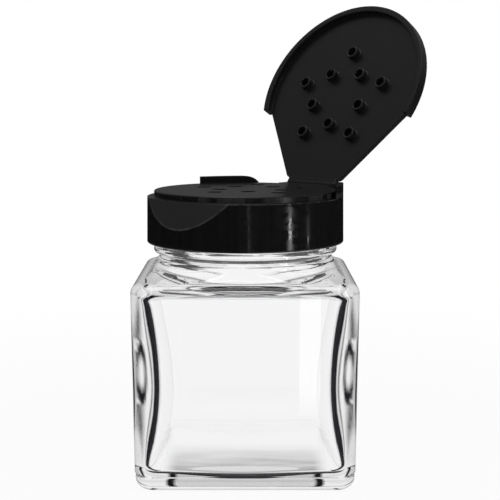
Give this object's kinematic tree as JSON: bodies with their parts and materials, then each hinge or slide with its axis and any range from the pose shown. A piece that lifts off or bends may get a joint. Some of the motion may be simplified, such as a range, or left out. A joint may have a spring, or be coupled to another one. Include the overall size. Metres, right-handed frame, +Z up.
{
  "type": "spice jar",
  "caption": "Square clear-glass spice jar with a round screw cap, a sifter disc and a flip lid on a living hinge, standing open.",
  "frame": {"origin": "middle of the jar's flat base", "axes": "+Z up along the jar's axis, -Y towards the viewer of the picture, X across the front panel"},
  "size_m": [0.0691, 0.0706, 0.1089],
  "materials": {
    "clear_glass": "polished flint glass",
    "liner_foam": "matt white foam",
    "black_plastic": "glossy black polypropylene"
  },
  "bodies": {
    "jar": {"glass_jar": "clear_glass"},
    "liner": {"liner_ring": "liner_foam"},
    "cap": {"cap_body": "black_plastic", "living_hinge": "black_plastic"},
    "lid": {"flip_lid": "black_plastic"}
  },
  "joints": [
    {"name": "cap_lift", "type": "slide", "parent": "jar", "child": "liner", "axis": [0, 0, 1], "range_m": [0, 0.0127]},
    {"name": "cap_turn", "type": "hinge", "parent": "liner", "child": "cap", "pos_m": [0, 0, 0.0622], "axis": [0, 0, 1], "range_deg": [0, 1441]},
    {"name": "lid_flip", "type": "hinge", "parent": "cap", "child": "lid", "pos_m": [0.01668, 0.0184, 0.0655], "axis": [-0.7408, 0.6717, 0], "range_deg": [-118.6, 41.4], "deforming": ["living_hinge"]}
  ],
  "couplings": [
    {"joint": "cap_turn", "follows": "cap_lift", "rad_per_m": 1979}
  ]
}
